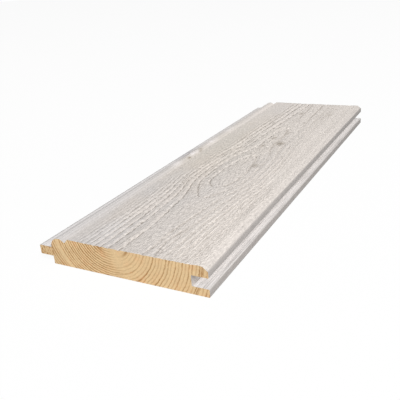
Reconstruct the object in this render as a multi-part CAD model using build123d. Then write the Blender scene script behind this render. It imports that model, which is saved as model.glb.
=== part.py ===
"""Tongue-and-groove cladding board with a bead along its tongue edge.

The board is one planed piece of softwood, cut square at both ends, and it lies flat on
its back. X runs across it from the tongue to the groove, Y runs along it and Z points up,
out of the face that shows on the wall. The origin is the middle of the underside of the
board's bounding box. All sizes are in millimetres.
"""

import os

from build123d import *

# Overall size
board_length = 370.0
cover_width = 110.0  # what one board covers on the wall
thickness = 19.0

# Tongue, which enters the groove of the next board
tongue_length = 10.0  # from the back shoulder to the tip
tongue_thickness = 6.2
tongue_depth = 7.3  # how far the top of the tongue lies below the face
tongue_arris = 0.4
shoulder_step = 0.2  # the front shoulder stands this far in front of the back one

# Groove, which takes the tongue of the board before
joint_play = 0.35  # above and below the tongue
tip_gap = 1.0  # beyond the tip of the tongue
groove_root_radius = 0.4
lip_arris = 0.4  # inner edge of the front lip
back_lip_radius = 0.7  # lead-in on the back lip

# Bead beside the front shoulder, and the quirk that parts it from the face
bead_width = 7.9
bead_drop = 0.7  # the top of the bead lies this far below the face
bead_roundness = 0.9  # share of the bead's outer side that its rounding takes up
bead_inner_radius = 1.5
quirk_depth = 2.9
quirk_bead_side = 3.1  # width of the slope on the bead's side
quirk_face_side = 2.8  # width of the slope on the face's side
quirk_root_radius = 0.5
face_arris = 0.6

# Bevel along the groove edge of the face
bevel_width = 3.7
bevel_height = 3.0
bevel_arris = 4.0
nose_arris = 0.5

# Long edges of the back
back_arris = 0.5

# Heights that follow from the sizes above
tongue_top = thickness - tongue_depth
tongue_underside = tongue_top - tongue_thickness
groove_top = tongue_top + joint_play
groove_bottom = tongue_underside - joint_play
nose_top = thickness - bevel_height
bead_top = thickness - bead_drop
bead_outer_radius = bead_roundness * (bead_top - tongue_top)
quirk_bottom = thickness - quirk_depth

# Places across the board, measured from the tip of the tongue
back_shoulder = tongue_length
front_shoulder = back_shoulder - shoulder_step
bead_edge = front_shoulder + bead_width
quirk_root = bead_edge + quirk_bead_side
face_edge = quirk_root + quirk_face_side
nose = front_shoulder + cover_width
bevel_edge = nose - bevel_width
back_lip = back_shoulder + cover_width
groove_wall = cover_width - tip_gap
half_width = back_lip / 2

# Corners of the section, anticlockwise from the back shoulder: place, height, radius
section_corners = [
    (back_shoulder, 0.0, back_arris),
    (back_lip, 0.0, back_arris),
    (back_lip, groove_bottom, back_lip_radius),
    (groove_wall, groove_bottom, groove_root_radius),
    (groove_wall, groove_top, groove_root_radius),
    (nose, groove_top, lip_arris),
    (nose, nose_top, nose_arris),
    (bevel_edge, thickness, bevel_arris),
    (face_edge, thickness, face_arris),
    (quirk_root, quirk_bottom, quirk_root_radius),
    (bead_edge, bead_top, bead_inner_radius),
    (front_shoulder, bead_top, bead_outer_radius),
    (front_shoulder, tongue_top, 0.0),
    (0.0, tongue_top, tongue_arris),
    (0.0, tongue_underside, tongue_arris),
    (back_shoulder, tongue_underside, 0.0),
]


def board_section():
    """The section that the planer leaves, drawn on the XZ plane about the board's middle."""
    outline = FilletPolyline(
        [(place - half_width, height) for place, height, _ in section_corners],
        radius=[radius for _, _, radius in section_corners],
        close=True,
    )
    return Plane.XZ * make_face(outline)


def cladding_board():
    """The section run along Y, half of its length to each side of the origin."""
    return extrude(board_section(), amount=board_length / 2, both=True)


if __name__ == "__main__":
    os.makedirs("parts", exist_ok=True)
    export_step(cladding_board(), "parts/cladding_board.step")
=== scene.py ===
"""The looks of a brushed and glazed tongue-and-groove cladding board.

The board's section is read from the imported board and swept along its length. The face is
then brushed: the soft early wood of each growth ring is worn down, and the hard late wood
is left standing. A thin white-grey glaze covers the face, the bead, the tongue and the
groove, and the two sawn ends and the back are bare wood.

Objects are placed in metres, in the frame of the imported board: X runs across it from the
tongue to the groove, Y along it from the near end, and Z up out of its face. The figure of
the wood is described in millimetres of the same frame.
"""

import logging
import math
from copy import copy
from dataclasses import dataclass, field
from enum import Enum
from typing import Any

import bmesh
import bpy
from mathutils import Matrix, Vector

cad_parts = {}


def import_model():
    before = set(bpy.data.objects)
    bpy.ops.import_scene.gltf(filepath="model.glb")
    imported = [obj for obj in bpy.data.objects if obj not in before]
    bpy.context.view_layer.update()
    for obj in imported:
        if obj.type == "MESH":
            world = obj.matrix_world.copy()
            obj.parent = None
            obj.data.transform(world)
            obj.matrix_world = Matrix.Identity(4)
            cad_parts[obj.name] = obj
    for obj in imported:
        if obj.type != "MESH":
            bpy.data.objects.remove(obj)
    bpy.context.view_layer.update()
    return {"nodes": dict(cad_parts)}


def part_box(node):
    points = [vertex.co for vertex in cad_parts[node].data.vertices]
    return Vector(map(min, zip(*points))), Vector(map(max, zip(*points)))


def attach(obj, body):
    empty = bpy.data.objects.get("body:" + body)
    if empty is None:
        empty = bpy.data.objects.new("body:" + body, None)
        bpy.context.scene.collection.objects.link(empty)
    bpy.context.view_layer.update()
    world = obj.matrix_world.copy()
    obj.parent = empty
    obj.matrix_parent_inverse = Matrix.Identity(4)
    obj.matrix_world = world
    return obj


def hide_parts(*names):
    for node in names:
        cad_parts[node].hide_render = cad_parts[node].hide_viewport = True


MM = 0.001  # a millimetre, in the scene's metres
WELD = 0.001 * MM  # points nearer than this are one point
FACING = 0.9  # a face that looks along an axis has at least this much of it in its normal
BOARD_NODE = "cladding_board"

log = logging.getLogger("cladding_board")

Colour = tuple[float, float, float, float]


def paint(red: int, green: int, blue: int) -> Colour:
    """Turn a colour as a screen shows it, from 0 to 255, into the linear colour of a shader.

    Args:
        red: Red of the colour.
        green: Green of the colour.
        blue: Blue of the colour.

    Returns:
        The linear colour, with an alpha of 1.
    """
    linear = []
    for part in (red / 255, green / 255, blue / 255):
        linear.append(part / 12.92 if part <= 0.04045 else ((part + 0.055) / 1.055) ** 2.4)
    return (linear[0], linear[1], linear[2], 1.0)


class Number:
    """A number that varies over the wood; operators on it add Math nodes to its sheet."""

    def __init__(self, sheet: "NodeSheet", socket: bpy.types.NodeSocket) -> None:
        """Keep the sheet and the socket that carries the number."""
        self.sheet = sheet
        self.socket = socket

    def __add__(self, other: "Number | float") -> "Number":
        """Sum of two numbers."""
        return self.sheet.math("ADD", self, other)

    __radd__ = __add__

    def __sub__(self, other: "Number | float") -> "Number":
        """Difference of two numbers."""
        return self.sheet.math("SUBTRACT", self, other)

    def __rsub__(self, other: float) -> "Number":
        """Difference with the plain number first."""
        return self.sheet.math("SUBTRACT", other, self)

    def __mul__(self, other: "Number | float") -> "Number":
        """Product of two numbers."""
        return self.sheet.math("MULTIPLY", self, other)

    __rmul__ = __mul__

    def __truediv__(self, other: "Number | float") -> "Number":
        """Quotient of two numbers."""
        return self.sheet.math("DIVIDE", self, other)

    def __rtruediv__(self, other: float) -> "Number":
        """Quotient with the plain number first."""
        return self.sheet.math("DIVIDE", other, self)

    def __neg__(self) -> "Number":
        """The number with its sign turned."""
        return self.sheet.math("MULTIPLY", self, -1.0)

    def __abs__(self) -> "Number":
        """The number without its sign."""
        return self.sheet.math("ABSOLUTE", self)

    def squared(self) -> "Number":
        """The number times itself."""
        return self * self

    def root(self) -> "Number":
        """The square root."""
        return self.sheet.math("SQRT", self)

    def exp(self) -> "Number":
        """The exponential."""
        return self.sheet.math("EXPONENT", self)

    def floor(self) -> "Number":
        """The whole part."""
        return self.sheet.math("FLOOR", self)

    def fraction(self) -> "Number":
        """What is left of the number beyond its whole part."""
        return self.sheet.math("FRACT", self)

    def at_least(self, low: "Number | float") -> "Number":
        """The number, or the limit where it is lower."""
        return self.sheet.math("MAXIMUM", self, low)

    def at_most(self, high: "Number | float") -> "Number":
        """The number, or the limit where it is higher."""
        return self.sheet.math("MINIMUM", self, high)

    def within(self, low: float, high: float) -> "Number":
        """The number, or the limit that it is beyond."""
        return self.at_least(low).at_most(high)

    def over(self, limit: float) -> "Number":
        """One where the number is above the limit, and zero elsewhere."""
        return self.sheet.math("GREATER_THAN", self, limit)

    def ramp(self, start: "Number | float", end: "Number | float") -> "Number":
        """Rise smoothly from zero to one as the number goes from start to end.

        Args:
            start: Where the rise begins.
            end: Where it is complete, which is above start.

        Returns:
            The rise, from zero to one.
        """
        made = self.sheet.node(
            "ShaderNodeMapRange",
            {"interpolation_type": "SMOOTHSTEP"},
            {"Value": self, "From Min": start, "From Max": end},
        )
        return Number(self.sheet, made.outputs[0])

    def hump(self, middle: float, reach: float) -> "Number":
        """A bell that is one at the middle and falls away over the reach on both sides."""
        return (-((self - middle) / reach).squared()).exp()


class NodeSheet:
    """A node tree, of a material or of geometry, that expressions add nodes to."""

    def __init__(self, tree: bpy.types.NodeTree) -> None:
        """Keep the tree that the nodes go into."""
        self.tree = tree

    def node(
        self,
        kind: str,
        settings: dict[str, Any] | None = None,
        sockets: dict[str | int, Any] | None = None,
    ) -> bpy.types.Node:
        """Add one node.

        Args:
            kind: The node's type.
            settings: Properties of the node, which are set before its sockets.
            sockets: Values or links for its inputs, by name or by number.

        Returns:
            The new node.
        """
        made = self.tree.nodes.new(kind)
        for name, value in (settings or {}).items():
            setattr(made, name, value)
        for key, value in (sockets or {}).items():
            source = value.socket if isinstance(value, Number) else value
            if isinstance(source, bpy.types.NodeSocket):
                self.tree.links.new(source, made.inputs[key])
            else:
                made.inputs[key].default_value = source
        return made

    def math(self, operation: str, *terms: "Number | float") -> Number:
        """Add a Math node.

        Args:
            operation: The node's operation.
            terms: Its one or two terms.

        Returns:
            The result.
        """
        made = self.node("ShaderNodeMath", {"operation": operation}, dict(enumerate(terms)))
        return Number(self, made.outputs[0])

    def vector(
        self, x: "Number | float", y: "Number | float", z: "Number | float"
    ) -> bpy.types.NodeSocket:
        """Join three numbers into a vector."""
        return self.node("ShaderNodeCombineXYZ", sockets={"X": x, "Y": y, "Z": z}).outputs[0]

    def blend(
        self,
        share: "Number | float",
        first: bpy.types.NodeSocket | Colour,
        second: bpy.types.NodeSocket | Colour,
        way: str = "MIX",
    ) -> bpy.types.NodeSocket:
        """Mix two colours.

        Args:
            share: How much of the second colour there is, from zero to one.
            first: The colour where the share is zero.
            second: The colour where the share is one.
            way: How the second colour is laid on the first.

        Returns:
            The mixed colour.
        """
        made = self.node(
            "ShaderNodeMix",
            {"data_type": "RGBA", "blend_type": way},
            {0: share, 6: first, 7: second},
        )
        return made.outputs[2]

    def tone(self, colour: bpy.types.NodeSocket, amount: Number) -> bpy.types.NodeSocket:
        """Make a colour lighter or darker.

        Args:
            colour: The colour.
            amount: What its brightness is multiplied by.

        Returns:
            The lighter or darker colour.
        """
        made = self.node(
            "ShaderNodeVectorMath", {"operation": "SCALE"}, {0: colour, "Scale": amount}
        )
        return made.outputs[0]


class Place:
    """Where a point of the wood is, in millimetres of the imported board's frame."""

    def __init__(self, sheet: NodeSheet, position: bpy.types.NodeSocket) -> None:
        """Split a position in metres into its three coordinates in millimetres.

        Args:
            sheet: The sheet that the position belongs to.
            position: The position, in metres.
        """
        scaled = sheet.node(
            "ShaderNodeVectorMath", {"operation": "SCALE"}, {0: position, "Scale": 1 / MM}
        )
        split = sheet.node("ShaderNodeSeparateXYZ", sockets={0: scaled.outputs[0]})
        self.sheet = sheet
        self.x: Number = Number(sheet, split.outputs["X"])
        self.y: Number = Number(sheet, split.outputs["Y"])
        self.z: Number | float = Number(sheet, split.outputs["Z"])

    def level(self) -> "Place":
        """The same point without its height, for a pattern that is the same at every depth."""
        flat = copy(self)
        flat.z = 0.0
        return flat

    def noise(self, across: float, along: float, seed: float, detail: float = 1.0) -> Number:
        """Noise that is drawn out along the grain.

        Args:
            across: Size of its grains across the board, in millimetres.
            along: Size of its grains along the board, in millimetres.
            seed: Shift that sets this noise apart from the others.
            detail: How many finer layers it has.

        Returns:
            A number around zero, mostly within one of it.
        """
        where = self.sheet.vector(self.x / across + seed, self.y / along, self.z / across)
        made = self.sheet.node(
            "ShaderNodeTexNoise", sockets={"Vector": where, "Scale": 1.0, "Detail": detail}
        )
        return Number(self.sheet, made.outputs[0]) * 3.0 - 1.5


@dataclass(frozen=True)
class Grain:
    """A noise that is drawn out along the grain, with its sizes in millimetres."""

    across: float
    along: float
    seed: float  # sets it apart from the other noises
    swing: float = 1.0
    detail: float = 1.0

    def at(self, place: Place) -> Number:
        """The noise at a point, mostly within its swing of zero."""
        return place.noise(self.across, self.along, self.seed, self.detail) * self.swing


@dataclass(frozen=True)
class Rise:
    """A smooth change from a first value to a last one, between a start and an end."""

    start: float
    end: float
    first: float = 0.0
    last: float = 1.0

    def at(self, number: Number) -> Number:
        """The value where a number has got to."""
        return number.ramp(self.start, self.end) * (self.last - self.first) + self.first


@dataclass(frozen=True)
class Bell:
    """A value that is full at a middle and falls away over a reach on both sides."""

    middle: float
    reach: float
    full: float = 1.0

    def at(self, number: Number) -> Number:
        """The value where a number has got to."""
        return number.hump(self.middle, self.reach) * self.full


@dataclass(frozen=True)
class Slope:
    """A value in the middle of the board, and what it gains from there to the far end."""

    middle: float
    gain: float

    def at(self, along: Number) -> Number:
        """The value at a place along the board, which is one at the far end."""
        return along * self.gain + self.middle


@dataclass(frozen=True)
class Spot:
    """An oval spot, such as a knot, a stain or a dent."""

    across: float
    along: float
    width: float
    length: float
    strength: float = 1.0

    def at(self, place: Place) -> Number:
        """How strong the spot is at a point."""
        bell = place.x.hump(self.across, self.width) * place.y.hump(self.along, self.length)
        return bell * self.strength


@dataclass(frozen=True)
class FaceReading:
    """What the figure of the face gives at a point."""

    depth: Number  # how far the brush has worn the face down, in millimetres
    late: Number  # the dark late wood, on the heart's side of each ring boundary
    early: Number  # the pale early wood beyond it
    tear: Number  # torn fibres
    knot: Number
    streak: Number  # the heart itself, where the face lays it bare


@dataclass(frozen=True)
class FaceFigure:
    """The growth rings as the face cuts them, and the relief that brushing leaves.

    The rings lie round the heart of the log, which runs above the face. Where it dips, the
    face cuts the inner rings in closed ovals. Each ring has about the same area, so that
    the number of rings grows with the square of the distance from the heart.
    """

    # The heart of the log
    heart_across: float = 10.0
    heart_height: float = 20.4
    heart_drift: Rise = Rise(-185.0, -80.0, 0.0, 1.2)  # to the groove side, along the board
    heart_dips: tuple[Bell, ...] = (
        Bell(-110.0, 24.0, 1.6),
        Bell(-50.0, 32.0, 18.9),
        Bell(-7.0, 20.0, 5.0),
        Bell(40.0, 78.0, 4.6),
    )

    # Knots, and how they bend the rings
    knots: tuple[Spot, ...] = (
        Spot(across=21.0, along=35.0, width=3.2, length=5.5, strength=1.0),
        Spot(across=22.0, along=-26.0, width=2.6, length=5.0, strength=0.75),
        Spot(across=7.0, along=141.0, width=2.2, length=5.0, strength=0.7),
        Spot(across=37.0, along=142.0, width=2.0, length=5.0, strength=0.5),
        Spot(across=10.4, along=50.0, width=1.8, length=5.0, strength=0.6),
        Spot(across=18.0, along=66.0, width=1.4, length=6.0, strength=0.5),
        Spot(across=8.5, along=24.0, width=1.4, length=5.0, strength=0.5),
    )
    knot_rings: float = 0.6
    knot_relief: float = 0.15

    # Rings, and the valley at each boundary between two of them
    waves: tuple[Grain, ...] = (
        Grain(24.0, 60.0, seed=3.1, swing=0.35),
        Grain(3.0, 11.0, seed=7.7, swing=0.6),
        Grain(1.4, 4.0, seed=11.3, swing=0.6),
        Grain(1.0, 2.6, seed=15.7, swing=0.5),
    )
    ring_area: float = 235.0
    ring_width: float = 30.0
    first_ring: float = 1.2
    late_width: float = 1.35  # of the two sides of the valley, across the grain
    early_width: float = 1.8
    line_width: Rise = Rise(-60.0, 100.0, 1.0, 1.7)  # the lines grow wider along the board
    loosest: float = 0.001  # rings in a millimetre, where the face runs along a ring
    relief: float = 0.95

    # A fainter line inside some of the rings
    half_ring: float = 0.55
    half_patches: Grain = Grain(8.0, 30.0, seed=13.1)
    half_strength: Rise = Rise(0.0, 0.7, 0.0, 0.6)

    # How the valleys fade
    smooth_side: Rise = Rise(-36.0, -12.0, 0.25, 1.0)  # the tongue side is brushed smooth
    reach: Rise = Rise(-85.0, -50.0, 47.0, 32.0)  # how far out from the heart they are deep
    reach_ease: float = 4.0
    beyond_reach: float = 0.25
    right_side: Rise = Rise(2.0, 14.0)  # to the groove side of the heart
    right_fade: float = 0.5
    right_kept: Bell = Bell(-12.0, 45.0, 0.35)
    patches: tuple[Grain, ...] = (
        Grain(9.0, 45.0, seed=19.9, swing=0.2),
        Grain(2.5, 7.0, seed=29.3, swing=0.3),
    )
    patch_level: float = 1.05
    patch_least: float = 0.1

    # Torn fibres: short ones, and long straight ones towards the groove
    open_grain: Rise = Rise(-36.0, 8.0, 0.12, 0.97)
    straight_side: Rise = Rise(22.0, 38.0)
    short_tears: Grain = Grain(1.9, 4.6, seed=23.7)
    short_strength: Rise = Rise(-120.0, -60.0, 0.78, 1.0)
    long_tears: Grain = Grain(1.3, 24.0, seed=27.1)
    long_strength: Rise = Rise(-80.0, 20.0, 0.52, 0.4)
    tear_patches: Grain = Grain(8.0, 20.0, seed=51.3)
    tear_strength: Rise = Rise(-0.4, 0.4, 0.55, 1.15)
    tear_relief: float = 1.1

    # The dark streak of the heart, from where it begins, and its slant from there
    streak_start: float = 95.0
    streak_aside: float = 2.0
    streak_slant: float = -0.07
    streak_width: float = 0.8
    streak_rise: Rise = Rise(0.0, 40.0)
    streak_breaks: Grain = Grain(2.0, 9.0, seed=33.3, swing=0.6)
    streak_level: float = 0.7
    streak_relief: float = 0.6

    # A torn mark in the shape of a roof, near the near end
    mark_across: float = 22.0
    mark_along: float = -165.0
    mark_slant: float = 0.18
    mark_width: float = 0.8
    mark_reach: float = 20.0
    mark_strength: float = 0.8

    def read(self, place: Place) -> FaceReading:
        """Work out the figure at a point of the face.

        Args:
            place: The point.

        Returns:
            What the figure gives there.
        """
        flat = place.level()
        shift = sum(wave.at(flat) for wave in self.waves)
        aside = flat.x + shift - self.heart_across - self.heart_drift.at(flat.y)
        height = self.heart_height - sum(dip.at(flat.y) for dip in self.heart_dips)
        square = aside.squared() + height.squared()
        radius = square.root()
        knot = sum(spot.at(flat) for spot in self.knots)
        rings = square / self.ring_area + radius / self.ring_width
        rings = rings + self.first_ring + knot * self.knot_rings
        packing = abs(aside) * (2 / self.ring_area + 1 / (self.ring_width * radius))
        late, early = self._lines(flat, rings, packing * self.line_width.at(flat.y))
        strength = self._strength(flat, aside, radius)
        late = (late * strength).at_least(self._mark(flat, shift))
        early = early * strength
        tear = self._tear(flat)
        streak = self._streak(flat, aside)
        valley = late.at_least(early).at_least(streak * self.streak_relief)
        depth = valley * self.relief + tear * self.tear_relief + knot * self.knot_relief
        return FaceReading(depth, late, early, tear, knot, streak)

    def _lines(self, place: Place, rings: Number, packing: Number) -> tuple[Number, Number]:
        """Find the lines of the ring boundaries, with a fainter line inside some rings.

        Args:
            place: The point.
            rings: The number of rings between the heart and the point.
            packing: Rings in each millimetre across the face there.

        Returns:
            The late wood and the early wood of the lines.
        """
        faint = self.half_strength.at(self.half_patches.at(place))
        late, early = self._boundary(rings, packing)
        half_late, half_early = self._boundary(rings + self.half_ring, packing)
        return late.at_least(half_late * faint), early.at_least(half_early * faint)

    def _boundary(self, rings: Number, packing: Number) -> tuple[Number, Number]:
        """Find the two sides of the ring boundary at each whole number of rings.

        Args:
            rings: The number of rings between the heart and the point.
            packing: Rings in each millimetre across the face there.

        Returns:
            The late wood on the heart's side and the early wood beyond, each one at the
            boundary and falling to zero over its width.
        """
        part = rings.fraction()
        loose = packing.at_least(self.loosest)
        late = (1 - (1 - part) / (loose * self.late_width)).at_least(0.0)
        early = (1 - part / (loose * self.early_width)).at_least(0.0)
        return late, early

    def _strength(self, place: Place, aside: Number, radius: Number) -> Number:
        """Say how deep the valleys are at a point.

        Args:
            place: The point.
            aside: How far it is to the side of the heart.
            radius: How far it is from the heart.

        Returns:
            Their share of the full depth.
        """
        reach = self.reach.at(place.y)
        outside = radius.ramp(reach - self.reach_ease, reach + self.reach_ease)
        fade = self.right_side.at(aside) * (self.right_fade - self.right_kept.at(place.y))
        patchy = sum(patch.at(place) for patch in self.patches) + self.patch_level
        return (
            self.smooth_side.at(place.x)
            * (1 - outside * (1 - self.beyond_reach))
            * (1 - fade)
            * patchy.within(self.patch_least, 1.0)
        )

    def _mark(self, place: Place, shift: Number) -> Number:
        """Find the torn mark at a point.

        Args:
            place: The point.
            shift: How far the grain is shifted across the face there.

        Returns:
            How strong the mark is.
        """
        slant = abs(place.y - self.mark_along) * self.mark_slant
        line = (place.x + shift - self.mark_across - slant).hump(0.0, self.mark_width)
        return line * place.y.hump(self.mark_along, self.mark_reach) * self.mark_strength

    def _tear(self, place: Place) -> Number:
        """Find the torn fibres at a point.

        Args:
            place: The point.

        Returns:
            How far the fibres are torn out, from zero to one.
        """
        short = self.short_tears.at(place) * self.short_strength.at(place.y)
        long = self.long_tears.at(place) * self.long_strength.at(place.y)
        torn = short + self.straight_side.at(place.x) * (long - short)
        torn = torn * self.tear_strength.at(self.tear_patches.at(place))
        return (torn * 0.5 + 0.5).within(0.0, 1.0) * self.open_grain.at(place.x)

    def _streak(self, place: Place, aside: Number) -> Number:
        """Find the dark streak of the heart at a point.

        Args:
            place: The point.
            aside: How far it is to the side of the heart.

        Returns:
            How strong the streak is.
        """
        beyond = place.y - self.streak_start
        off_streak = aside - self.streak_aside - beyond * self.streak_slant
        broken = (self.streak_breaks.at(place) + self.streak_level).within(0.0, 1.0)
        return off_streak.hump(0.0, self.streak_width) * self.streak_rise.at(beyond) * broken


@dataclass(frozen=True)
class RingFamily:
    """Growth rings round one heart, as one side of the section shows them."""

    heart_across: float
    heart_height: float
    stretch: float  # how far they are drawn out sideways
    spacing: float
    strong_ring: float  # radius of one of the darker rings
    strong_every: float
    plain_ring: float  # radius of a ring without late wood
    quiet: float  # radius up to which the rings are faint
    late_start: float  # share of each ring before its late wood
    uneven: float  # how far the rings lie from an even spacing
    dark_ring: float  # radius of one ring full of resin
    contrast: float
    seed: float
    uneven_size: float = 3.0
    late_full: float = 0.8  # share of each ring at which its late wood is darkest
    late_fall: Rise = Rise(0.86, 1.0, 1.0, 0.0)
    quiet_before: float = 4.0
    quiet_after: float = 3.0
    quiet_share: float = 0.6
    strong_rise: Rise = Rise(0.3, 0.44)
    least_share: float = 0.35  # of the late wood's full darkness
    chance_share: float = 0.4
    strong_share: float = 0.4
    plain_width: float = 1.5
    dark_width: float = 0.55
    dark_share: float = 0.75

    def late_wood(self, place: Place, wander: Number) -> Number:
        """Find the dark late wood at a point.

        Args:
            place: The point.
            wander: How far the rings are out of round there.

        Returns:
            Zero in the pale early wood, rising to one in the dark late wood.
        """
        aside = (place.x - self.heart_across) / self.stretch
        below = place.z - self.heart_height
        radius = (aside.squared() + below.squared()).root() + wander
        where = place.sheet.vector(radius / self.uneven_size, self.seed, 0.0)
        slow = place.sheet.node(
            "ShaderNodeTexNoise", sockets={"Vector": where, "Scale": 1.0, "Detail": 1.0}
        )
        rings = (radius + Number(place.sheet, slow.outputs[0]) * self.uneven) / self.spacing
        chance = place.sheet.node(
            "ShaderNodeTexWhiteNoise",
            {"noise_dimensions": "1D"},
            {"W": rings.floor() + self.seed},
        )
        beat = ((radius - self.strong_ring) / self.strong_every).fraction()
        strong = self.strong_rise.at(abs(beat - 0.5)) * self.strong_share
        share = Number(place.sheet, chance.outputs[0]) * self.chance_share + self.least_share
        part = rings.fraction()
        late = part.ramp(self.late_start, self.late_full) * self.late_fall.at(part)
        late = late * ((share + strong) * self.contrast).at_most(1.0)
        late = late * (1 - radius.hump(self.plain_ring, self.plain_width))
        calm = Rise(self.quiet - self.quiet_before, self.quiet + self.quiet_after, self.quiet_share)
        dark = radius.hump(self.dark_ring, self.dark_width) * self.dark_share
        return (late * calm.at(radius)).at_least(dark)


@dataclass(frozen=True)
class SectionRings:
    """The growth rings as the ends, the edges and the back of the board cut them."""

    tongue_side: RingFamily = RingFamily(
        heart_across=-4.0,
        heart_height=26.0,
        stretch=1.14,
        spacing=1.65,
        strong_ring=35.0,
        strong_every=7.4,
        plain_ring=37.4,
        quiet=0.0,
        late_start=0.3,
        uneven=0.5,
        dark_ring=0.0,
        contrast=1.6,
        seed=0.0,
    )
    groove_side: RingFamily = RingFamily(
        heart_across=-2.0,
        heart_height=25.0,
        stretch=1.0,
        spacing=2.1,
        strong_ring=28.6,
        strong_every=7.4,
        plain_ring=0.0,
        quiet=24.0,
        late_start=0.48,
        uneven=1.3,
        dark_ring=59.0,
        contrast=1.0,
        seed=40.0,
    )
    wanders: tuple[Grain, ...] = (
        Grain(60.0, 160.0, seed=31.0, swing=1.2),
        Grain(6.0, 60.0, seed=41.0, swing=0.4),
        Grain(1.3, 30.0, seed=71.0, swing=0.25),
    )
    middle: float = -0.5  # of the plain young wood below the heart
    reach: float = 6.0
    plain_share: Rise = Rise(3.0, 10.0, 0.1, 0.75)  # by height
    patches: Grain = Grain(5.0, 50.0, seed=73.0, swing=0.4)
    patch_level: float = 0.9
    patch_least: float = 0.3
    pith_across: float = -2.5  # a dark ring close round the pith, cut off by the face
    pith_height: float = 25.2
    pith_ring: Bell = Bell(12.0, 0.9)
    pith_share: Rise = Rise(13.0, 18.0, 0.0, 0.8)  # by height
    pith_wander: float = 0.5

    def late_wood(self, place: Place) -> Number:
        """Find the dark late wood at a point.

        Args:
            place: The point.

        Returns:
            Zero in the pale early wood, rising to one in the dark late wood.
        """
        wander = sum(grain.at(place) for grain in self.wanders)
        groove_share = place.x.ramp(self.middle - self.reach, self.middle + self.reach)
        tongue_late = self.tongue_side.late_wood(place, wander)
        groove_late = self.groove_side.late_wood(place, wander)
        late = tongue_late + groove_share * (groove_late - tongue_late)
        patchy = (self.patches.at(place) + self.patch_level).within(self.patch_least, 1.0)
        plain = place.x.hump(self.middle, self.reach) * self.plain_share.at(place.z)
        return (late * patchy * (1 - plain)).at_least(self._pith(place, wander))

    def _pith(self, place: Place, wander: Number) -> Number:
        """Find the dark ring round the pith at a point.

        Args:
            place: The point.
            wander: How far the rings are out of round there.

        Returns:
            How dark the ring is.
        """
        aside = place.x - self.pith_across
        below = place.z - self.pith_height
        out = (aside.squared() + below.squared()).root()
        return self.pith_ring.at(out + wander * self.pith_wander) * self.pith_share.at(place.z)


class Finish(Enum):
    """The three finishes of the board, by the name of their material."""

    GLAZE = "white_glaze"
    END = "sawn_end_grain"
    BACK = "planed_back"


class FinishSheet(NodeSheet):
    """The nodes of one material, ending in a single surface shader."""

    def __init__(self, finish: Finish) -> None:
        """Start an empty material.

        Args:
            finish: Which finish it is for.
        """
        self.material = bpy.data.materials.new(finish.value)
        self.material.use_nodes = True
        self.material.cycles.emission_sampling = "NONE"
        super().__init__(self.material.node_tree)
        self.tree.nodes.clear()
        self.place = Place(self, self.node("ShaderNodeTexCoord").outputs["Object"])

    def close(
        self,
        colour: bpy.types.NodeSocket,
        roughness: Number,
        height: Number,
        bump: float,
        gloss: float,
        glow: bpy.types.NodeSocket | None = None,
    ) -> bpy.types.Material:
        """Finish the material.

        Args:
            colour: Its colour.
            roughness: Its roughness.
            height: Height of its fine grain, from zero to one.
            bump: How deep that grain is, in metres.
            gloss: How much light its surface throws back.
            glow: Light that is added where the studio's light doesn't reach.

        Returns:
            The material.
        """
        grain = self.node(
            "ShaderNodeBump", sockets={"Strength": 1.0, "Distance": bump, "Height": height}
        )
        surface = self.node(
            "ShaderNodeBsdfPrincipled",
            sockets={
                "Base Color": colour,
                "Roughness": roughness,
                "Normal": grain.outputs[0],
                "Specular IOR Level": gloss,
            },
        )
        if glow is not None:
            surface.inputs["Emission Strength"].default_value = 1.0
            self.tree.links.new(glow, surface.inputs["Emission Color"])
        self.node("ShaderNodeOutputMaterial", sockets={"Surface": surface.outputs[0]})
        return self.material


@dataclass(frozen=True)
class GlazePoint:
    """A point of the glaze, with what its layers read there."""

    sheet: FinishSheet
    place: Place
    face: FaceReading
    along: Number  # minus one at the near end, one at the far end
    on_face: Number  # one on the face and its bevel, zero elsewhere
    off_face: Number
    late: Number  # late wood of the rings that the edges cut
    fibre: Number
    ledge: Number  # one on the ledge of the groove
    wall: Number  # one on the wall of the groove


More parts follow.
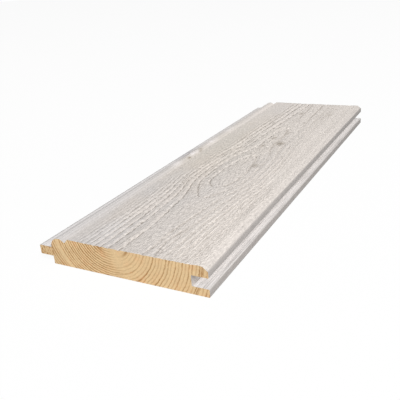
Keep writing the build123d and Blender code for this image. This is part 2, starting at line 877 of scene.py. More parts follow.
@dataclass(frozen=True)
class WhiteGlaze:
    """A thin white-grey glaze, through which the grain of the wood still shows."""

    face_span: tuple[float, float]
    face_height: float
    half_width: float
    half_length: float
    figure: FaceFigure
    rings: SectionRings

    # Colours
    cool: Colour = paint(200, 196, 194)
    warm: Colour = paint(206, 198, 191)
    white: Colour = paint(228, 220, 213)
    ledge_white: Colour = paint(221, 219, 219)
    # painted light on the tongue's top
    tongue_painted_light: Colour = paint(238, 234, 233)
    honey: Colour = (1.0, 0.985, 0.93, 1.0)
    # painted shade of the bevel, the lips' edges and the groove's wall, also the grey of the
    # bevel's furrows
    edge_painted_shade_and_furrows: Colour = paint(177, 171, 167)
    # deeper painted shade on the lips' edges and the groove's wall, also the grey of the ledge's
    # combing
    deeper_painted_shade_and_combing: Colour = paint(138, 133, 129)
    hollow_grey: Colour = paint(146, 142, 152)
    patch_white: Colour = paint(236, 230, 228)
    bruise_grey: Colour = paint(196, 188, 177)
    black: Colour = (0.0, 0.0, 0.0, 1.0)
    shade: Colour = paint(142, 132, 121)
    knot_brown: Colour = paint(140, 128, 112)

    # Where the face is, from its two edges and from its height
    face_start: Rise = Rise(-0.6, 0.6)
    face_stop: Rise = Rise(59.0, 59.4, 1.0, 0.0)
    face_skin: Rise = Rise(-4.0, -3.0)

    # Ground of the glaze, clouded on the face
    clouds: Grain = Grain(22.0, 70.0, seed=43.0, swing=0.5, detail=2.0)
    cloud_rise: Rise = Rise(0.1, 0.9)
    cloud_edge: Rise = Rise(-6.0, 0.0)
    honey_spot: Spot = Spot(across=-22.0, along=20.0, width=30.0, length=80.0)
    # painted light on the tongue's top, against the shade of the bead
    tongue_start: Rise = Rise(-59.9, -58.4)
    tongue_stop: Rise = Rise(-54.0, -51.0, 1.0, 0.0)
    tongue_share: Slope = Slope(0.75, -0.25)

    # Where the glaze is thicker and whiter
    white_share: Slope = Slope(0.58, 0.18)
    white_across: Slope = Slope(0.4, -0.31)
    worn_strip: Bell = Bell(-14.0, 17.0)
    worn_share: Slope = Slope(0.27, -0.2)
    thick_side: Rise = Rise(20.0, 50.0)
    thick_share: float = 0.3
    thick_waist: Bell = Bell(0.05, 0.55, 0.14)
    thick_strip: Bell = Bell(16.0, 18.0)
    thick_far: Rise = Rise(0.1, 0.7, 0.0, 0.2)

    # Lines of the grain, bolder in the middle of the board and fainter in two spots
    bold_start: Rise = Rise(-85.0, -40.0)
    bold_stop: Rise = Rise(80.0, 125.0, 1.0, 0.0)
    bold_heart: Rise = Rise(-4.0, 8.0, 0.5, -0.15)
    bold_groove: Rise = Rise(14.0, 26.0, 0.0, -0.35)
    faint_spots: tuple[Spot, ...] = (
        Spot(across=10.0, along=-90.0, width=9.0, length=16.0, strength=0.35),
        Spot(across=20.0, along=-168.0, width=5.0, length=9.0, strength=0.45),
    )
    late_share: float = 0.95
    early_share: float = 0.6
    streak_share: float = 0.6
    ring_share: float = 0.2  # of the late wood, off the face
    fibre_share: Rise = Rise(0.2, 1.0, 0.0, 0.08)
    knot_share: float = 0.8

    # Speckle of the brushed fibres
    speckles: tuple[Grain, ...] = (
        Grain(0.7, 2.0, seed=83.0, swing=0.35, detail=2.0),
        Grain(1.1, 3.6, seed=87.0, swing=0.4),
    )
    speckle_share: Slope = Slope(0.66, 0.1)
    speckle_face: float = 0.65
    speckle_late: float = 0.5
    speckle_edge: float = 0.35
    speckle_waist: Bell = Bell(15.0, 90.0, 0.6)
    speckle_side: Rise = Rise(20.0, 28.0, 1.0, 0.0)
    torn_level: float = 0.5
    torn_ease: float = 0.2
    torn_share: float = -0.45

    # Lighter and darker stretches, with painted shade on the bead's shoulder and the tongue's tip,
    # and a painted highlight on the bead's crest
    face_tone: Rise = Rise(20.0, 56.0, -0.07, -0.01)
    far_side: Rise = Rise(20.0, 30.0)
    far_side_tone: Bell = Bell(10.0, 100.0, -0.014)
    grey_spots: tuple[Spot, ...] = (
        Spot(across=-8.0, along=-175.0, width=17.0, length=35.0, strength=-0.022),
        Spot(across=-8.0, along=-25.0, width=17.0, length=34.0, strength=-0.0572),
    )
    # painted shade on the bead's outer shoulder
    bead_shoulder_painted_shade: Bell = Bell(-48.6, 3.0, -0.05)
    bead_height: Rise = Rise(13.0, 16.0)
    # painted shade on the tongue's rounded tip
    tongue_tip_painted_shade: Rise = Rise(-59.6, -58.4, -0.16, 0.0)
    tip_height: Rise = Rise(10.4, 11.2)
    # painted highlight on the bead's crest, towards the near end
    crest_painted_highlight: Bell = Bell(-43.7, 0.9, 0.19)
    crest_height: Rise = Rise(17.0, 18.0)
    crest_near: Rise = Rise(-110.0, -50.0, 1.0, 0.0)
    brow_tone: Bell = Bell(51.0, 3.0, 0.06)
    brow_near: Rise = Rise(-120.0, -70.0, 1.0, 0.0)

    # Bevel, with painted shade that dims it and furrows along it
    bevel_start: Rise = Rise(54.6, 57.2)
    bevel_height: Rise = Rise(15.0, 15.8)
    bevel_share: Slope = Slope(0.25, 0.1)
    furrows: Grain = Grain(0.9, 14.0, seed=79.0, swing=0.3, detail=2.0)
    furrow_level: float = 0.12

    # Ledge of the groove, combed along the grain
    ledge_start: Rise = Rise(49.2, 50.0)
    ledge_bottom: Rise = Rise(4.6, 5.0)
    ledge_top: Rise = Rise(5.3, 6.0, 1.0, 0.0)
    ledge_share: float = 0.8
    combing: Grain = Grain(0.6, 30.0, seed=77.0, detail=2.0)
    combing_share: Rise = Rise(-0.2, 0.8, 0.02, 0.62)

    # Painted shade on the wall of the groove and the outer edges of both lips
    wall_start: Rise = Rise(48.0, 48.5)
    wall_stop: Rise = Rise(49.4, 49.8, 1.0, 0.0)
    lip_start: Rise = Rise(59.0, 59.5)
    lip_arris: float = 0.7  # how much of the ledge's white the arris of the back lip keeps
    edge_share: float = 0.9
    # the painted shade grows deeper towards the far end and on the back lip
    edge_dark: Slope = Slope(0.36, 0.36)
    mottling: Grain = Grain(2.0, 7.0, seed=89.0, swing=0.3, detail=2.0)
    back_lip: Rise = Rise(5.0, 6.0, 1.0, 0.0)
    back_lip_dark: Slope = Slope(0.09, -0.05)

    # Bruise on the bead, with pale flakes and dark dents
    ragged: Grain = Grain(1.4, 4.0, seed=81.0, swing=0.9, detail=2.0)
    ragged_level: float = 0.8
    bruise: Spot = Spot(across=-41.0, along=-14.0, width=4.0, length=18.0, strength=0.5)
    bead_hollow: Spot = Spot(across=-48.0, along=-14.0, width=4.0, length=16.0)
    tongue_hollow: Bell = Bell(6.0, 18.0)
    hollow_stop: Rise = Rise(-52.0, -50.0, 1.0, 0.0)
    hollow_share: float = 0.5
    flakes: tuple[Spot, ...] = (
        Spot(across=-43.0, along=-9.0, width=2.2, length=9.0, strength=1.2),
        Spot(across=-43.6, along=-38.0, width=2.8, length=7.0, strength=0.9),
        Spot(across=-43.2, along=28.0, width=2.4, length=12.0, strength=0.9),
        Spot(across=-43.4, along=68.0, width=2.2, length=10.0, strength=0.7),
    )
    dents: tuple[Spot, ...] = (
        Spot(across=-47.5, along=-9.5, width=1.4, length=4.0, strength=0.8),
        Spot(across=-46.0, along=-15.0, width=1.2, length=3.0, strength=0.7),
        Spot(across=-41.2, along=-19.5, width=1.1, length=2.6, strength=0.8),
        Spot(across=-42.4, along=3.5, width=1.1, length=2.8, strength=0.8),
        Spot(across=-40.4, along=1.0, width=1.0, length=2.4, strength=0.6),
    )

    # Light inside the groove, away from its two open ends
    glow_near: Rise = Rise(-182.5, -177.5)
    glow_far: Rise = Rise(177.5, 182.5, 1.0, 0.0)
    ledge_glow: Rise = Rise(54.0, 58.0, 0.3, 0.0)
    mouth_across: Rise = Rise(51.5, 55.0, 0.35, 0.0)
    mouth_along: Rise = Rise(-176.0, -160.0, 1.0, 0.0)
    wall_glow: Rise = Rise(-184.0, -174.0, 0.08, 0.68)
    wall_bottom: Rise = Rise(4.9, 5.4)

    # Surface
    fibres: Grain = Grain(0.35, 7.0, seed=47.0, detail=2.0)
    roughness: float = 0.55
    fibre_roughness: float = 0.06
    grit: Grain = Grain(0.9, 2.6, seed=67.0, swing=4.0)
    grit_level: float = 0.3
    grit_torn: float = 2.0
    fibre_height: float = 0.5
    early_height: float = 1.5
    bump: float = 0.05 * MM
    gloss: float = 0.35

    def make(self) -> bpy.types.Material:
        """Build the glaze.

        Returns:
            The material.
        """
        sheet = FinishSheet(Finish.GLAZE)
        point = self._point(sheet)
        colour = self._lines(point, self._ground(point))
        colour = sheet.tone(colour, self._tone(point))
        knot = point.face.knot * point.on_face * self.knot_share
        colour = sheet.blend(knot, colour, self.knot_brown)
        colour = self._flaw(point, self._edges(point, colour))
        glow = sheet.blend(self._shaded(point), self.black, colour)
        grit = self.grit.at(point.place.level()) * point.on_face
        grit = grit * (point.face.tear * self.grit_torn + self.grit_level)
        height = point.fibre * self.fibre_height + grit
        height = height + (1 - point.late) * point.off_face * self.early_height
        roughness = point.fibre * self.fibre_roughness + self.roughness
        return sheet.close(colour, roughness, height, self.bump, self.gloss, glow)

    def _point(self, sheet: FinishSheet) -> GlazePoint:
        """Read what the layers of the glaze share.

        Args:
            sheet: The sheet of the glaze.

        Returns:
            The readings at a point.
        """
        place = sheet.place
        on_face = (
            self.face_start.at(place.x - self.face_span[0])
            * self.face_stop.at(place.x)
            * self.face_skin.at(place.z - self.face_height)
        )
        off_face = 1 - on_face
        ledge = self.ledge_bottom.at(place.z) * self.ledge_top.at(place.z)
        wall = self.wall_start.at(place.x) * self.wall_stop.at(place.x)
        return GlazePoint(
            sheet=sheet,
            place=place,
            face=self.figure.read(place),
            along=place.y / self.half_length,
            on_face=on_face,
            off_face=off_face,
            late=self.rings.late_wood(place),
            fibre=self.fibres.at(place),
            ledge=ledge * self.ledge_start.at(place.x),
            wall=wall * off_face,
        )

    def _ground(self, point: GlazePoint) -> bpy.types.NodeSocket:
        """Lay the ground of the glaze, with painted light on the tongue's top.

        Args:
            point: The point.

        Returns:
            Its colour.
        """
        sheet = point.sheet
        place = point.place
        cloud = self.cloud_rise.at(self.clouds.at(place) + 0.5)
        cloud = cloud * self.cloud_edge.at(place.x - self.face_span[0])
        colour = sheet.blend(cloud, self.cool, self.warm)
        colour = sheet.blend(self._whiter(point), colour, self.white)
        colour = sheet.blend(self.honey_spot.at(place), colour, self.honey, "MULTIPLY")
        tongue = self.tongue_start.at(place.x) * self.tongue_stop.at(place.x)
        return sheet.blend(tongue * self.tongue_share.at(point.along), colour, self.tongue_painted_light)

    def _whiter(self, point: GlazePoint) -> Number:
        """Say where the glaze is thicker: towards two opposite corners of the face.

        Args:
            point: The point.

        Returns:
            How much whiter it is there.
        """
        across = point.place.x / self.half_width
        worn = self.worn_strip.at(point.place.x) * self.worn_share.at(point.along)
        thick = self.thick_side.at(point.place.x)
        thick = thick * (self.thick_share - self.thick_waist.at(point.along))
        thick = thick + self.thick_strip.at(point.place.x) * self.thick_far.at(point.along)
        whiter = self.white_share.at(point.along) + across * self.white_across.at(point.along)
        return (whiter - worn + thick).within(0.0, 1.0)

    def _lines(self, point: GlazePoint, colour: bpy.types.NodeSocket) -> bpy.types.NodeSocket:
        """Draw the lines of the grain.

        Args:
            point: The point.
            colour: Its colour so far.

        Returns:
            Its colour with the lines.
        """
        place = point.place
        middle = self.bold_start.at(place.y) * self.bold_stop.at(place.y)
        bold = middle * (self.bold_heart.at(place.x) + self.bold_groove.at(place.x)) + 1.0
        bold = bold - sum(spot.at(place) for spot in self.faint_spots)
        pale = point.face.early * bold * point.on_face * self.early_share
        colour = point.sheet.blend(pale, colour, self.white)
        dark = point.face.late * bold * self.late_share + point.face.streak * self.streak_share
        dark = dark * point.on_face + point.late * point.off_face * self.ring_share
        dark = dark + self.fibre_share.at(point.fibre)
        return point.sheet.blend(dark.at_most(1.0), colour, self.shade)

    def _tone(self, point: GlazePoint) -> Number:
        """Say how light or dark the glaze is, with painted shade and a painted highlight on the
        bead and the tongue.

        Args:
            point: The point.

        Returns:
            What the brightness of its colour is multiplied by.
        """
        place = point.place
        tear = point.face.tear
        waist = self.speckle_waist.at(place.y) * self.speckle_side.at(place.x) + 1.0
        rough = point.on_face * (point.face.late * self.speckle_late + self.speckle_face) * waist
        rough = rough + point.off_face * self.speckle_edge
        level = place.level()
        speckle = sum(grain.at(level) for grain in self.speckles)
        torn = (tear - self.torn_level) * (tear + self.torn_ease).at_most(1.0) * self.torn_share
        far_side = self.far_side.at(place.x) * self.far_side_tone.at(place.y)
        brow = self.brow_tone.at(place.x) * self.brow_near.at(place.y)
        on_face = (torn + self.face_tone.at(place.x) + far_side + brow) * point.on_face
        # painted highlight on the bead's crest
        crest = self.crest_painted_highlight.at(place.x) * self.crest_height.at(place.z)
        return (
            speckle * rough * self.speckle_share.at(point.along)
            + on_face
            + sum(spot.at(place) for spot in self.grey_spots)
            # painted shade on the bead's shoulder and the tongue's tip
            + self.bead_shoulder_painted_shade.at(place.x) * self.bead_height.at(place.z)
            + self.tongue_tip_painted_shade.at(place.x) * self.tip_height.at(place.z)
            + crest * self.crest_near.at(place.y)
            + 1.0
        )

    def _edges(self, point: GlazePoint, colour: bpy.types.NodeSocket) -> bpy.types.NodeSocket:
        """Paint the ledge, and lay painted shade on the bevel, the groove's wall and the lips'
        edges.

        Args:
            point: The point.
            colour: Its colour so far.

        Returns:
            Its colour with them.
        """
        sheet = point.sheet
        place = point.place
        # painted shade that dims the bevel, with its furrows
        bevel = self.bevel_start.at(place.x) * self.bevel_height.at(place.z)
        furrow = (self.furrows.at(place) + self.furrow_level).at_least(0.0)
        bevel = bevel * (self.bevel_share.at(point.along) + furrow)
        colour = sheet.blend(bevel, colour, self.edge_painted_shade_and_furrows)
        colour = sheet.blend(point.ledge * self.ledge_share, colour, self.ledge_white)
        combed = self.combing_share.at(self.combing.at(place))
        colour = sheet.blend(point.ledge * combed, colour, self.deeper_painted_shade_and_combing)
        # painted shade on the lips' edges and the groove's wall, deeper towards the far end
        lips = self.lip_start.at(place.x) * (1 - point.ledge * self.lip_arris)
        edge = (lips + point.wall).at_most(1.0)
        colour = sheet.blend(edge * self.edge_share, colour, self.edge_painted_shade_and_furrows)
        dark = self.edge_dark.at(point.along) + self.mottling.at(place) * (1 - point.wall)
        dark = dark + self.back_lip.at(place.z) * self.back_lip_dark.at(point.along)
        return sheet.blend((edge * dark).at_least(0.0), colour, self.deeper_painted_shade_and_combing)

    def _flaw(self, point: GlazePoint, colour: bpy.types.NodeSocket) -> bpy.types.NodeSocket:
        """Lay a bruise on the bead, with flakes and dents in it.

        Args:
            point: The point.
            colour: Its colour so far.

        Returns:
            Its colour with the bruise.
        """
        sheet = point.sheet
        place = point.place
        ragged = self.ragged.at(place) + self.ragged_level
        hollow = self.bead_hollow.at(place)
        hollow = hollow + self.hollow_stop.at(place.x) * self.tongue_hollow.at(place.y)
        hollow = (hollow * ragged).within(0.0, 1.0) * self.hollow_share
        pale = (sum(spot.at(place) for spot in self.flakes) * ragged).within(0.0, 1.0)
        dark = (sum(spot.at(place) for spot in self.dents) * ragged).within(0.0, 1.0)
        colour = sheet.blend(self.bruise.at(place), colour, self.bruise_grey)
        colour = sheet.blend(hollow, colour, self.hollow_grey)
        colour = sheet.blend(pale, colour, self.patch_white)
        return sheet.blend(dark, colour, self.knot_brown)

    def _shaded(self, point: GlazePoint) -> Number:
        """Say where the groove is in shade and is lit a little from within.

        Args:
            point: The point.

        Returns:
            The share of its colour that it adds as light.
        """
        place = point.place
        mouth = self.mouth_across.at(place.x) * self.mouth_along.at(place.y)
        inside = self.glow_near.at(place.y) * self.glow_far.at(place.y)
        ledge = point.ledge * (self.ledge_glow.at(place.x) + mouth) * inside
        return ledge + point.wall * self.wall_bottom.at(place.z) * self.wall_glow.at(place.y)


@dataclass(frozen=True)
class BareWood:
    """Bare softwood, with pale early wood and dark late wood."""

    finish: Finish
    rings: SectionRings
    early: Colour
    late: Colour
    flush: Colour
    resin: Colour
    saw_marks: float

    # Flush of colour, stronger near the face and the back
    clouds: Grain = Grain(9.0, 60.0, seed=53.0, swing=0.5, detail=2.0)
    cloud_rise: Rise = Rise(0.4, 1.0, 0.0, 0.8)
    face_rim: Rise = Rise(12.0, 18.0, 0.0, 0.6)
    back_rim: Rise = Rise(1.0, 4.0, 1.0, 0.4)

    # Dark wood, resinous in places and blotched in the tongue
    resin_patches: Grain = Grain(7.0, 60.0, seed=91.0)
    resin_rise: Rise = Rise(0.1, 0.8)
    tongue: Rise = Rise(-50.5, -48.5, 1.0, 0.0)
    tongue_rings: float = 0.3  # share of the rings' darkness that shows in the tongue
    blotches: Grain = Grain(1.8, 60.0, seed=95.0, detail=2.0)
    blotch_share: Rise = Rise(-0.2, 0.7, 0.1, 1.0)
    pore_share: Rise = Rise(0.1, 1.0, 0.0, 0.22)

    # Lighter and darker places
    grains: tuple[Grain, ...] = (
        Grain(0.8, 8.0, seed=93.0, swing=0.11, detail=2.0),
        Grain(2.0, 20.0, seed=94.0, swing=0.06),
    )
    front_lip: Rise = Rise(50.0, 54.0, 0.0, -0.045)
    front_lip_height: Rise = Rise(11.5, 12.5)
    light_corner: Bell = Bell(-35.0, 11.0, 0.06)
    light_height: Rise = Rise(13.0, 17.0)
    dark_corner: Bell = Bell(-46.0, 5.0, -0.06)
    dark_height: Rise = Rise(8.0, 12.0, 1.0, 0.0)

    # Surface
    pores: Grain = Grain(0.3, 5.0, seed=59.0, detail=2.0)
    saw: Grain = Grain(30.0, 900.0, seed=61.0, detail=3.0)
    roughness: float = 0.78
    pore_roughness: float = 0.05
    pore_height: float = 0.5
    late_height: float = 0.4
    bump: float = 0.06 * MM
    gloss: float = 0.25

    def make(self) -> bpy.types.Material:
        """Build the bare wood.

        Returns:
            The material.
        """
        sheet = FinishSheet(self.finish)
        place = sheet.place
        pores = self.pores.at(place)
        near_rim = self.face_rim.at(place.z) + self.back_rim.at(place.z)
        flush = self.cloud_rise.at(self.clouds.at(place) + 0.5) * near_rim
        base = sheet.blend(flush, self.early, self.flush)
        resin = self.resin_rise.at(self.resin_patches.at(place))
        dark = sheet.blend(resin, self.late, self.resin)
        tongue = self.tongue.at(place.x)
        late = self.rings.late_wood(place) * (1 - tongue * (1 - self.tongue_rings))
        late = late + tongue * self.blotch_share.at(self.blotches.at(place))
        colour = sheet.blend(late.at_most(1.0), base, dark)
        colour = sheet.blend(self.pore_share.at(pores), colour, self.late)
        colour = sheet.tone(colour, self._tone(place))
        roughness = pores * self.pore_roughness + self.roughness
        height = pores * self.pore_height + late * self.late_height
        height = height + self.saw.at(place) * self.saw_marks
        return sheet.close(colour, roughness, height, self.bump, self.gloss)

    def _tone(self, place: Place) -> Number:
        """Say how light or dark the wood is.

        Args:
            place: The point.

        Returns:
            What the brightness of its colour is multiplied by.
        """
        return (
            sum(grain.at(place) for grain in self.grains)
            + self.front_lip.at(place.x) * self.front_lip_height.at(place.z)
            + self.light_corner.at(place.x) * self.light_height.at(place.z)
            + self.dark_corner.at(place.x) * self.dark_height.at(place.z)
            + 1.0
        )


class Section:
    """The section of the board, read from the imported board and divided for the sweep."""

    def __init__(self, node: bpy.types.Object) -> None:
        """Read the corners of the section.

        Args:
            node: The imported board.
        """
        self.corners = self._rim(node)
        self.top = max(corner.y for corner in self.corners)
        runs = [run for run in self._runs() if min(run[0].y, run[1].y) > self.top - WELD]
        longest = max(runs, key=lambda run: (run[1] - run[0]).length)
        self.face_span = (min(p.x for p in longest), max(p.x for p in longest))

    @staticmethod
    def _rim(node: bpy.types.Object) -> list[Vector]:
        """Follow the rim of the near end round, in the direction that its sides wind.

        Args:
            node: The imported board.

        Returns:
            Places across the board and heights, as flat vectors.
        """
        shape = bmesh.new()
        shape.from_mesh(node.data)
        bmesh.ops.remove_doubles(shape, verts=shape.verts, dist=WELD)
        near = min(vert.co.y for vert in shape.verts)
        following = {}
        for side in (face for face in shape.faces if abs(face.normal.y) < FACING):
            for corner in side.loops:
                here = corner.vert
                ahead = corner.link_loop_next.vert
                if max(here.co.y, ahead.co.y) < near + WELD:
                    following[here] = ahead
        start = next(iter(following))
        rim = [start]
        while following[rim[-1]] is not start:
            rim.append(following[rim[-1]])
        points = [Vector((vert.co.x, vert.co.z)) for vert in rim]
        shape.free()
        return points

    def _runs(self) -> list[tuple[Vector, Vector]]:
        """Pair each corner with the next one round the section."""
        return list(zip(self.corners, self.corners[1:] + self.corners[:1]))

    def divided(self, face_step: float, side_step: float, closest: float) -> list[Vector]:
        """Divide the section finely along the face and more coarsely elsewhere.

        Args:
            face_step: Longest step along the face.
            side_step: Longest step along the other sides.
            closest: Points of a rounded corner that lie nearer than this are left out.

        Returns:
            The points round the section.
        """
        points: list[Vector] = []
        for here, ahead in self._runs():
            if points and (here - points[-1]).length < closest:
                continue
            points.append(here)
            length = (ahead - here).length
            on_face = min(here.y, ahead.y) > self.top - WELD and length > self.face_length / 2
            count = math.ceil(length / (face_step if on_face else side_step))
            points.extend(here.lerp(ahead, step / count) for step in range(1, count))
        return points

    @property
    def face_length(self) -> float:
        """Width of the flat face."""
        return self.face_span[1] - self.face_span[0]


@dataclass
class SweepTree:
    """The Geometry Nodes that sweep the section along the board and brush its face."""

    section: Section
    figure: FaceFigure
    finishes: dict[Finish, bpy.types.Material]
    length: float
    rows: int
    smooth_below: float = math.radians(50)
    quirk_edge: Rise = Rise(-0.3, 0.8)  # the brush eases off at the edges and ends of the face
    bevel_edge: Rise = Rise(-7.0, 0.3, 1.0, 0.0)
    face_skin: Rise = Rise(-0.5, -0.1)
    end_ease: Rise = Rise(0.0, 8.0, 0.5, 1.0)
    identifiers: dict[str, str] = field(default_factory=dict)

    def build(self) -> bpy.types.GeometryNodeTree:
        """Build the tree.

        Returns:
            The tree, which takes the section as a closed loop of edges.
        """
        tree = bpy.data.node_groups.new("swept_board", "GeometryNodeTree")
        self._add_input(tree, "Section", "NodeSocketGeometry")
        self._add_input(tree, "Length", "NodeSocketFloat")
        self._add_input(tree, "Rows", "NodeSocketInt")
        self._add_input(tree, "Smooth Below", "NodeSocketFloat")
        for finish in Finish:
            self._add_input(tree, finish.value, "NodeSocketMaterial")
        tree.interface.new_socket("Board", in_out="OUTPUT", socket_type="NodeSocketGeometry")
        sheet = NodeSheet(tree)
        inputs = sheet.node("NodeGroupInput").outputs
        swept = self._sweep(sheet, inputs)
        brushed = self._brush(sheet, swept)
        dressed = self._dress(sheet, inputs, brushed)
        sheet.node("NodeGroupOutput", sockets={0: dressed})
        return tree

    def _add_input(self, tree: bpy.types.GeometryNodeTree, name: str, kind: str) -> None:
        """Give the tree a named input and keep the input's identifier."""
        made = tree.interface.new_socket(name, in_out="INPUT", socket_type=kind)
        self.identifiers[name] = made.identifier

    def set_inputs(self, modifier: bpy.types.NodesModifier) -> None:
        """Set the sizes and materials on the modifier that runs the tree."""
        values: dict[str, Any] = {
            "Length": self.length,
            "Rows": self.rows,
            "Smooth Below": self.smooth_below,
        }
        values.update({finish.value: material for finish, material in self.finishes.items()})
        for name, value in values.items():
            modifier[self.identifiers[name]] = value

    @staticmethod
    def _sweep(sheet: NodeSheet, inputs: Any) -> bpy.types.NodeSocket:
        """Sweep the section from the near end to the far end.

        Args:
            sheet: The sheet of the tree.
            inputs: The tree's inputs.

        Returns:
            The swept board, closed at both ends.
        """
        profile = sheet.node("GeometryNodeMeshToCurve", sockets={0: inputs["Section"]})
        half = Number(sheet, inputs["Length"]) * 0.5
        line = sheet.node(
            "GeometryNodeCurvePrimitiveLine",
            sockets={
                "Start": sheet.vector(0.0, -half, 0.0),
                "End": sheet.vector(0.0, half, 0.0),
            },
        )
        path = sheet.node(
            "GeometryNodeResampleCurve", sockets={"Curve": line.outputs[0], "Count": inputs["Rows"]}
        )
        swept = sheet.node(
            "GeometryNodeCurveToMesh",
            sockets={
                "Curve": path.outputs[0],
                "Profile Curve": profile.outputs[0],
                "Fill Caps": True,
            },
        )
        return swept.outputs[0]

    def _brush(
        self, sheet: NodeSheet, swept: bpy.types.NodeSocket
    ) -> bpy.types.NodeSocket:
        """Wear the face down where the wood is soft.

        Args:
            sheet: The sheet of the tree.
            swept: The swept board.

        Returns:
            The brushed board.
        """
        place = Place(sheet, sheet.node("GeometryNodeInputPosition").outputs[0])
        low, high = (edge / MM for edge in self.section.face_span)
        top = self.section.top / MM
        on_face = (
            self.quirk_edge.at(place.x - low)
            * self.bevel_edge.at(place.x - high)
            * self.face_skin.at(place.z - top)
        )
        from_end = self.length / MM / 2 - abs(place.y)
        depth = self.figure.read(place).depth * on_face * self.end_ease.at(from_end) * MM
        moved = sheet.node(
            "GeometryNodeSetPosition",
            sockets={"Geometry": swept, "Offset": sheet.vector(0.0, 0.0, -depth)},
        )
        return moved.outputs[0]

    @staticmethod
    def _dress(
        sheet: NodeSheet, inputs: Any, brushed: bpy.types.NodeSocket
    ) -> bpy.types.NodeSocket:
        """Set the shading and the finishes.

        Args:
            sheet: The sheet of the tree.
            inputs: The tree's inputs.
            brushed: The brushed board.

        Returns:
            The dressed board.
        """
        angle = Number(sheet, sheet.node("GeometryNodeInputMeshEdgeAngle").outputs[0])
        gentle = sheet.math("LESS_THAN", angle, Number(sheet, inputs["Smooth Below"]))
        faces = sheet.node(
            "GeometryNodeSetShadeSmooth", {"domain": "FACE"}, {0: brushed, "Shade Smooth": True}
        )
        edges = sheet.node(
            "GeometryNodeSetShadeSmooth",
            {"domain": "EDGE"},
            {0: faces.outputs[0], "Shade Smooth": gentle},
        )
        normal = sheet.node(
            "ShaderNodeSeparateXYZ", sockets={0: sheet.node("GeometryNodeInputNormal").outputs[0]}
        )
        at_end = abs(Number(sheet, normal.outputs["Y"])).over(FACING)
        at_back = (-Number(sheet, normal.outputs["Z"])).over(FACING)
        height = Place(sheet, sheet.node("GeometryNodeInputPosition").outputs[0]).z
        at_back = at_back * (1 - height.over(WELD / MM))
        real = sheet.node("GeometryNodeRealizeInstances", sockets={0: edges.outputs[0]})
        dressed = real.outputs[0]
        for finish, where in ((Finish.GLAZE, 1.0), (Finish.END, at_end), (Finish.BACK, at_back)):
            dressed = sheet.node(
                "GeometryNodeSetMaterial",
                sockets={
                    0: dressed,
                    "Selection": where if isinstance(where, Number) else True,
                    "Material": inputs[finish.value],
                },
            ).outputs[0]
        return dressed


@dataclass
class BrushedBoard:
    """The whole board: one swept, brushed and finished piece of softwood."""

    node: bpy.types.Object
    body: str = "root"
    name: str = "brushed_board"
    rows: int = 250
    face_step: float = 0.42 * MM
    side_step: float = 3.0 * MM
    closest: float = 0.13 * MM
    figure: FaceFigure = FaceFigure()
    rings: SectionRings = SectionRings()

    def finishes(self, section: Section) -> dict[Finish, bpy.types.Material]:
        """Make the three finishes.

        Args:
            section: The section of the board.

        Returns:
            The materials, by finish.
        """
        span = (section.face_span[0] / MM, section.face_span[1] / MM)
        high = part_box(self.node.name)[1] / MM
        glaze = WhiteGlaze(span, section.top / MM, high.x, high.y, self.figure, self.rings)
        end = BareWood(
            Finish.END,
            self.rings,
            early=paint(238, 207, 160),
            late=paint(166, 117, 63),
            flush=paint(236, 184, 134),
            resin=paint(196, 124, 66),
            saw_marks=0.5,
        )
        back = BareWood(
            Finish.BACK,
            self.rings,
            early=paint(226, 196, 152),
            late=paint(196, 150, 98),
            flush=paint(222, 186, 140),
            resin=paint(200, 146, 92),
            saw_marks=0.0,
        )
        return {
            Finish.GLAZE: glaze.make(),
            Finish.END: end.make(),
            Finish.BACK: back.make(),
        }

    def build(self) -> bpy.types.Object:
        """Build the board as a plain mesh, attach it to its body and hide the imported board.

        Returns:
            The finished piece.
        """
        section = Section(self.node)
        low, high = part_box(self.node.name)
        sweep = SweepTree(
            section, self.figure, self.finishes(section), high.y - low.y, self.rows
        )
        loop = section.divided(self.face_step, self.side_step, self.closest)
        mesh = self._evaluated(loop, sweep)
        piece = bpy.data.objects.new(self.name, mesh)
        bpy.context.scene.collection.objects.link(piece)
        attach(piece, self.body)
        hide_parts(self.node.name)
        return piece

    def _evaluated(self, loop: list[Vector], sweep: SweepTree) -> bpy.types.Mesh:
        """Run the sweep on a loop of edges.

        Args:
            loop: Points of the section.
            sweep: The sweep.

        Returns:
            The swept mesh.
        """
        outline = bpy.data.meshes.new("section_outline")
        # the sweep lays the outline's own Y downwards
        points = [(point.x, -point.y, 0.0) for point in loop]
        edges = [(here, (here + 1) % len(points)) for here in range(len(points))]
        outline.from_pydata(points, edges, [])
        holder = bpy.data.objects.new("section_outline", outline)
        bpy.context.scene.collection.objects.link(holder)
        modifier = holder.modifiers.new("sweep", "NODES")
        modifier.node_group = sweep.build()
        sweep.set_inputs(modifier)
        graph = bpy.context.evaluated_depsgraph_get()
        mesh = bpy.data.meshes.new_from_object(holder.evaluated_get(graph))
        mesh.name = self.name
        bpy.data.objects.remove(holder)
        bpy.data.meshes.remove(outline)
        return mesh


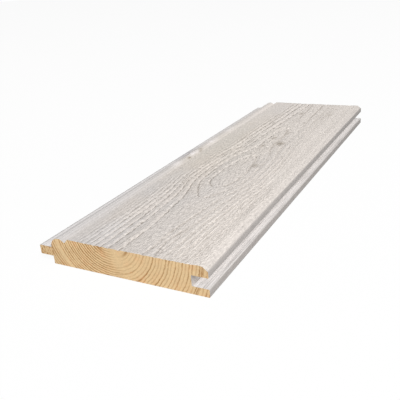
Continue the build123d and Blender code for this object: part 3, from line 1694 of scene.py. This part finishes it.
@dataclass(frozen=True)
class Studio:
    """A white floor, soft light from above and in front, and the camera."""

    camera_place: tuple[float, float, float] = (0.18096, -0.40518, 0.16246)
    camera_aim: tuple[float, float, float] = (0.01315, -0.10390, 0.019)
    camera_roll: float = math.radians(-4.41)
    lens: float = 48.80
    nearest: float = 10.0 * MM
    floor_size: float = 12.0
    floor_level: float = -0.1 * MM
    floor_white: float = 0.9
    floor_bounce: float = 0.35
    floor_glow: float = 0.94
    sky: float = 0.28
    key_place: tuple[float, float, float] = (1.53, -1.62, 2.01)
    key_size: float = 1.2
    key_power: float = 96.0

    def build(self) -> None:
        """Set up the floor, the light, the camera and the view."""
        self._floor()
        self._world()
        self._key()
        self._camera()
        bpy.context.scene.view_settings.view_transform = "Standard"

    @staticmethod
    def _seen(sheet: NodeSheet) -> Number:
        """One for the rays that show the background: camera, glossy and transmission rays."""
        rays = sheet.node("ShaderNodeLightPath").outputs
        camera = Number(sheet, rays["Is Camera Ray"])
        return camera.at_least(Number(sheet, rays["Is Glossy Ray"])).at_least(
            Number(sheet, rays["Is Transmission Ray"])
        )

    def _floor(self) -> None:
        """Lay a floor that looks white and keeps the board's shadow."""
        half = self.floor_size / 2
        mesh = bpy.data.meshes.new("floor")
        corners = [(-half, -half), (half, -half), (half, half), (-half, half)]
        mesh.from_pydata([(x, y, self.floor_level) for x, y in corners], [], [(0, 1, 2, 3)])
        floor = bpy.data.objects.new("floor", mesh)
        bpy.context.scene.collection.objects.link(floor)
        material = bpy.data.materials.new("white_floor")
        material.use_nodes = True
        sheet = NodeSheet(material.node_tree)
        sheet.tree.nodes.clear()
        seen = self._seen(sheet)
        bounce, white = ((tone,) * 3 + (1.0,) for tone in (self.floor_bounce, self.floor_white))
        tone = sheet.blend(seen, bounce, white)
        plain = sheet.node("ShaderNodeBsdfDiffuse", sockets={"Color": tone})
        glow = sheet.node("ShaderNodeEmission", sockets={"Strength": 1.0})
        mixed = sheet.node(
            "ShaderNodeMixShader",
            sockets={0: seen * self.floor_glow, 1: plain.outputs[0], 2: glow.outputs[0]},
        )
        sheet.node("ShaderNodeOutputMaterial", sockets={"Surface": mixed.outputs[0]})
        mesh.materials.append(material)

    def _world(self) -> None:
        """Light the scene evenly from all round, behind a white backdrop."""
        world = bpy.data.worlds.new("studio")
        world.use_nodes = True
        sheet = NodeSheet(world.node_tree)
        sheet.tree.nodes.clear()
        white = (1.0, 1.0, 1.0, 1.0)
        light = sheet.node("ShaderNodeBackground", sockets={"Color": white, "Strength": self.sky})
        shown = sheet.node("ShaderNodeBackground", sockets={"Color": white, "Strength": 1.0})
        mixed = sheet.node(
            "ShaderNodeMixShader",
            sockets={0: self._seen(sheet), 1: light.outputs[0], 2: shown.outputs[0]},
        )
        sheet.node("ShaderNodeOutputWorld", sockets={"Surface": mixed.outputs[0]})
        bpy.context.scene.world = world

    def _key(self) -> None:
        """Hang one large soft lamp above, in front of the board and to its groove side."""
        lamp = bpy.data.lights.new("softbox", "AREA")
        lamp.shape = "SQUARE"
        lamp.size = self.key_size
        lamp.energy = self.key_power
        holder = bpy.data.objects.new("softbox", lamp)
        holder.location = self.key_place
        holder.rotation_euler = (-Vector(self.key_place)).to_track_quat("-Z", "Y").to_euler()
        bpy.context.scene.collection.objects.link(holder)

    def _camera(self) -> None:
        """Place the camera at the photograph's viewing angle."""
        data = bpy.data.cameras.new("camera")
        data.lens = self.lens
        data.clip_start = self.nearest
        camera = bpy.data.objects.new("camera", data)
        sight = Vector(self.camera_aim) - Vector(self.camera_place)
        turn = sight.to_track_quat("-Z", "Y").to_matrix().to_4x4()
        roll = Matrix.Rotation(self.camera_roll, 4, "Z")
        camera.matrix_world = Matrix.Translation(self.camera_place) @ turn @ roll
        bpy.context.scene.collection.objects.link(camera)
        bpy.context.scene.camera = camera


def main() -> None:
    """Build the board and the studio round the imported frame."""
    logging.basicConfig(level=logging.INFO, format="%(name)s: %(message)s")
    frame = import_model()
    board = BrushedBoard(frame["nodes"][BOARD_NODE]).build()
    board.data.calc_loop_triangles()
    log.info("%s has %d triangles", board.name, len(board.data.loop_triangles))
    Studio().build()


if __name__ == "__main__":
    main()
